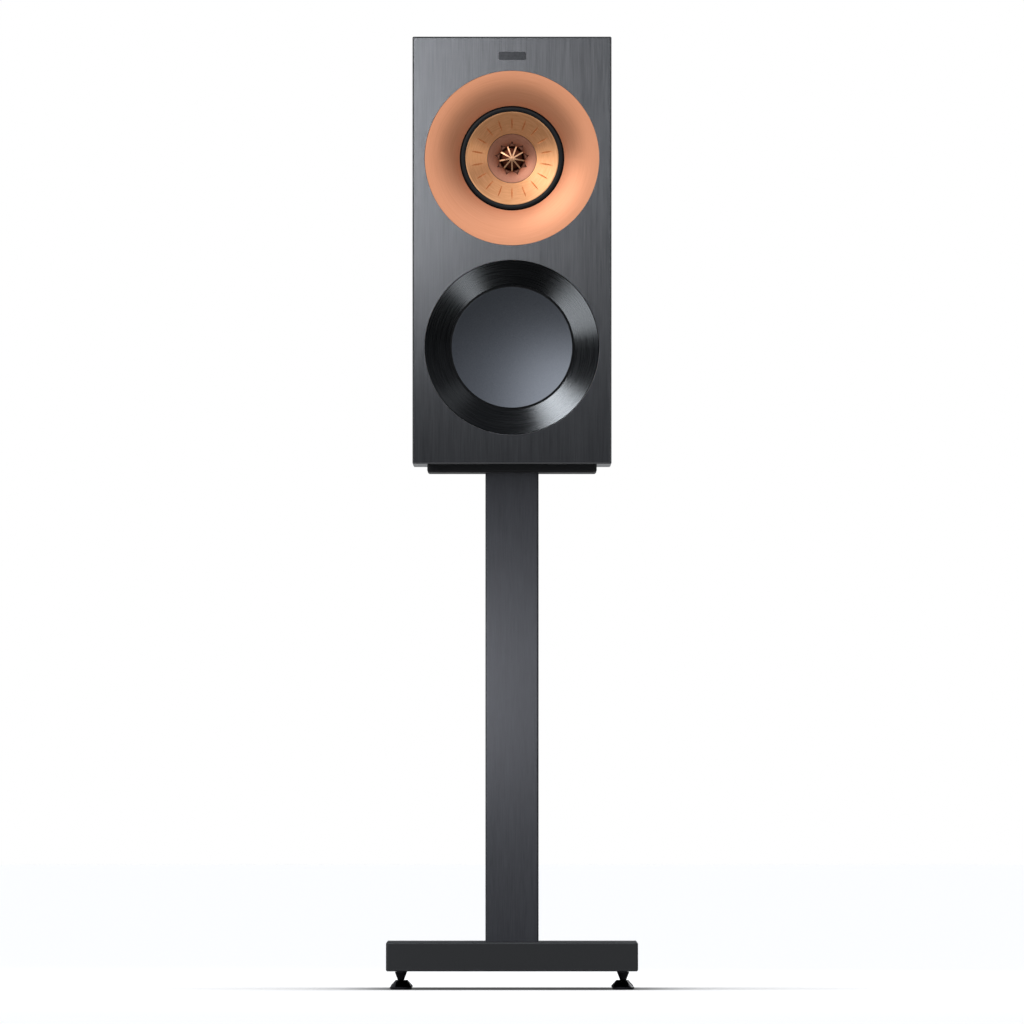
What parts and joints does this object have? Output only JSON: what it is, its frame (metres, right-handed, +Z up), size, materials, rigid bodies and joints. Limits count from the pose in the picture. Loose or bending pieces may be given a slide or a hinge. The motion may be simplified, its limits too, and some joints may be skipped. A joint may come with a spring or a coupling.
{
  "type": "bookshelf speaker",
  "caption": "Bookshelf speaker with a copper flared coaxial driver above a concave bass dish, bolted to a floor stand whose slim column rises from a heavy base on spikes in shoes.",
  "frame": {"origin": "on the floor, under the middle of the bounding box", "axes": "+Z up, the drivers face -Y, +X to the right seen from the front"},
  "size_m": [0.26, 0.43, 0.982],
  "materials": {
    "brushed_face": "satin",
    "cabinet_lacquer": "gloss",
    "fibreboard": "matte",
    "copper_ring": "satin",
    "black_ring": "polished",
    "gold_cone": "satin",
    "rose_horn": "satin",
    "dome_metal": "satin",
    "grey_dish": "satin",
    "chassis_metal": "matte",
    "motor_steel": "satin",
    "ferrite": "matte",
    "coil": "satin",
    "rubber_surround": "matte",
    "spider_cloth": "matte",
    "felt": "matte",
    "black_plastic": "matte",
    "terminal_brass": "polished",
    "terminal_cap": "satin",
    "circuit_board": "satin",
    "coil_copper": "satin",
    "capacitor_film": "gloss",
    "lead_sleeve": "satin",
    "stand_plate": "matte",
    "stand_column": "satin",
    "stand_base": "satin",
    "black_chrome": "gloss",
    "screw_steel": "satin"
  },
  "bodies": {
    "root": {"front_panel": "brushed_face", "baffle_board": "fibreboard", "left_side_panel": "cabinet_lacquer", "right_side_panel": "cabinet_lacquer", "top_panel": "cabinet_lacquer", "bottom_panel": "cabinet_lacquer", "rear_panel": "cabinet_lacquer", "mid_chamber_walls": "fibreboard", "window_brace": "fibreboard", "damping_pads": "felt", "coax_trim_ring": "copper_ring", "coax_chassis": "chassis_metal", "mid_surround": "rubber_surround", "mid_spider": "spider_cloth", "mid_magnet": "ferrite", "mid_pole_plates": "motor_steel", "tweeter_waveguide": "rose_horn", "tweeter_phase_plug": "rose_horn", "tweeter_motor": "motor_steel", "woofer_trim_ring": "black_ring", "woofer_chassis": "chassis_metal", "woofer_surround": "rubber_surround", "woofer_spider": "spider_cloth", "woofer_magnet": "ferrite", "woofer_pole_plates": "motor_steel", "port_tube": "black_plastic", "terminal_plate": "black_plastic", "terminal_studs": "terminal_brass", "crossover_board": "circuit_board", "crossover_coils": "coil_copper", "crossover_capacitors": "capacitor_film", "internal_leads": "lead_sleeve", "stand_top_plate": "stand_plate", "stand_column": "stand_column", "cable_cover": "black_plastic", "stand_base": "stand_base", "socket_screws": "screw_steel"},
    "bass_diaphragm": {"woofer_dish": "grey_dish", "woofer_voice_coil": "coil"},
    "midrange_diaphragm": {"mid_cone": "gold_cone", "mid_voice_coil": "coil"},
    "tweeter_diaphragm": {"tweeter_dome": "dome_metal"},
    "collar_bass_left": {"terminal_collar_bass_left": "terminal_brass"},
    "cap_bass_left": {"terminal_cap_bass_left": "terminal_cap"},
    "collar_bass_right": {"terminal_collar_bass_right": "terminal_brass"},
    "cap_bass_right": {"terminal_cap_bass_right": "terminal_cap"},
    "collar_treble_left": {"terminal_collar_treble_left": "terminal_brass"},
    "cap_treble_left": {"terminal_cap_treble_left": "terminal_cap"},
    "collar_treble_right": {"terminal_collar_treble_right": "terminal_brass"},
    "cap_treble_right": {"terminal_cap_treble_right": "terminal_cap"},
    "link_left": {"link_knob_left": "black_plastic"},
    "link_right": {"link_knob_right": "black_plastic"},
    "shoe_front_left": {"spike_shoe_front_left": "black_chrome"},
    "spike_front_left": {"spike_front_left": "black_chrome"},
    "shoe_front_right": {"spike_shoe_front_right": "black_chrome"},
    "spike_front_right": {"spike_front_right": "black_chrome"},
    "shoe_rear_left": {"spike_shoe_rear_left": "black_chrome"},
    "spike_rear_left": {"spike_rear_left": "black_chrome"},
    "shoe_rear_right": {"spike_shoe_rear_right": "black_chrome"},
    "spike_rear_right": {"spike_rear_right": "black_chrome"}
  },
  "joints": [
    {"name": "bass_travel", "type": "slide", "parent": "root", "child": "bass_diaphragm", "axis": [0, 1, 0], "range_m": [-0.004, 0.004], "stiffness_N_per_m": 1000, "deforming": ["woofer_surround", "woofer_spider"]},
    {"name": "midrange_travel", "type": "slide", "parent": "root", "child": "midrange_diaphragm", "axis": [0, 1, 0], "range_m": [-0.0015, 0.0015], "stiffness_N_per_m": 2000, "deforming": ["mid_surround", "mid_spider"]},
    {"name": "tweeter_travel", "type": "slide", "parent": "root", "child": "tweeter_diaphragm", "axis": [0, 1, 0], "range_m": [-0.0003, 0.0003], "stiffness_N_per_m": 500},
    {"name": "collar_slide_bass_left", "type": "slide", "parent": "root", "child": "collar_bass_left", "axis": [0, 1, 0], "range_m": [0, 0.004]},
    {"name": "cap_turn_bass_left", "type": "hinge", "parent": "collar_bass_left", "child": "cap_bass_left", "pos_m": [-0.028, 0.206, 0.623], "axis": [0, 1, 0], "range_deg": [0, 1438]},
    {"name": "collar_slide_bass_right", "type": "slide", "parent": "root", "child": "collar_bass_right", "axis": [0, 1, 0], "range_m": [0, 0.004]},
    {"name": "cap_turn_bass_right", "type": "hinge", "parent": "collar_bass_right", "child": "cap_bass_right", "pos_m": [0.028, 0.206, 0.623], "axis": [0, 1, 0], "range_deg": [0, 1438]},
    {"name": "collar_slide_treble_left", "type": "slide", "parent": "root", "child": "collar_treble_left", "axis": [0, 1, 0], "range_m": [0, 0.004]},
    {"name": "cap_turn_treble_left", "type": "hinge", "parent": "collar_treble_left", "child": "cap_treble_left", "pos_m": [-0.028, 0.206, 0.671], "axis": [0, 1, 0], "range_deg": [0, 1438]},
    {"name": "collar_slide_treble_right", "type": "slide", "parent": "root", "child": "collar_treble_right", "axis": [0, 1, 0], "range_m": [0, 0.004]},
    {"name": "cap_turn_treble_right", "type": "hinge", "parent": "collar_treble_right", "child": "cap_treble_right", "pos_m": [0.028, 0.206, 0.671], "axis": [0, 1, 0], "range_deg": [0, 1438]},
    {"name": "link_turn_left", "type": "hinge", "parent": "root", "child": "link_left", "pos_m": [-0.028, 0.199, 0.647], "axis": [0, 1, 0], "range_deg": [0, 90]},
    {"name": "link_turn_right", "type": "hinge", "parent": "root", "child": "link_right", "pos_m": [0.028, 0.199, 0.647], "axis": [0, 1, 0], "range_deg": [0, 90]},
    {"name": "shoe_slide_front_left", "type": "slide", "parent": "root", "child": "shoe_front_left", "axis": [0, 0, -1], "range_m": [0, 0.008]},
    {"name": "spike_turn_front_left", "type": "hinge", "parent": "shoe_front_left", "child": "spike_front_left", "pos_m": [-0.1147, -0.154, 0.02], "axis": [0, 0, -1], "range_deg": [0, 2305]},
    {"name": "shoe_slide_front_right", "type": "slide", "parent": "root", "child": "shoe_front_right", "axis": [0, 0, -1], "range_m": [0, 0.008]},
    {"name": "spike_turn_front_right", "type": "hinge", "parent": "shoe_front_right", "child": "spike_front_right", "pos_m": [0.1147, -0.154, 0.02], "axis": [0, 0, -1], "range_deg": [0, 2305]},
    {"name": "shoe_slide_rear_left", "type": "slide", "parent": "root", "child": "shoe_rear_left", "axis": [0, 0, -1], "range_m": [0, 0.008]},
    {"name": "spike_turn_rear_left", "type": "hinge", "parent": "shoe_rear_left", "child": "spike_rear_left", "pos_m": [-0.1147, 0.154, 0.02], "axis": [0, 0, -1], "range_deg": [0, 2305]},
    {"name": "shoe_slide_rear_right", "type": "slide", "parent": "root", "child": "shoe_rear_right", "axis": [0, 0, -1], "range_m": [0, 0.008]},
    {"name": "spike_turn_rear_right", "type": "hinge", "parent": "shoe_rear_right", "child": "spike_rear_right", "pos_m": [0.1147, 0.154, 0.02], "axis": [0, 0, -1], "range_deg": [0, 2305]}
  ],
  "couplings": [
    {"joint": "collar_slide_bass_left", "follows": "cap_turn_bass_left", "m_per_rad": 0.00015915},
    {"joint": "collar_slide_bass_right", "follows": "cap_turn_bass_right", "m_per_rad": 0.00015915},
    {"joint": "collar_slide_treble_left", "follows": "cap_turn_treble_left", "m_per_rad": 0.00015915},
    {"joint": "collar_slide_treble_right", "follows": "cap_turn_treble_right", "m_per_rad": 0.00015915},
    {"joint": "spike_turn_front_left", "follows": "shoe_slide_front_left", "rad_per_m": 5026.5},
    {"joint": "spike_turn_front_right", "follows": "shoe_slide_front_right", "rad_per_m": 5026.5},
    {"joint": "spike_turn_rear_left", "follows": "shoe_slide_rear_left", "rad_per_m": 5026.5},
    {"joint": "spike_turn_rear_right", "follows": "shoe_slide_rear_right", "rad_per_m": 5026.5}
  ]
}
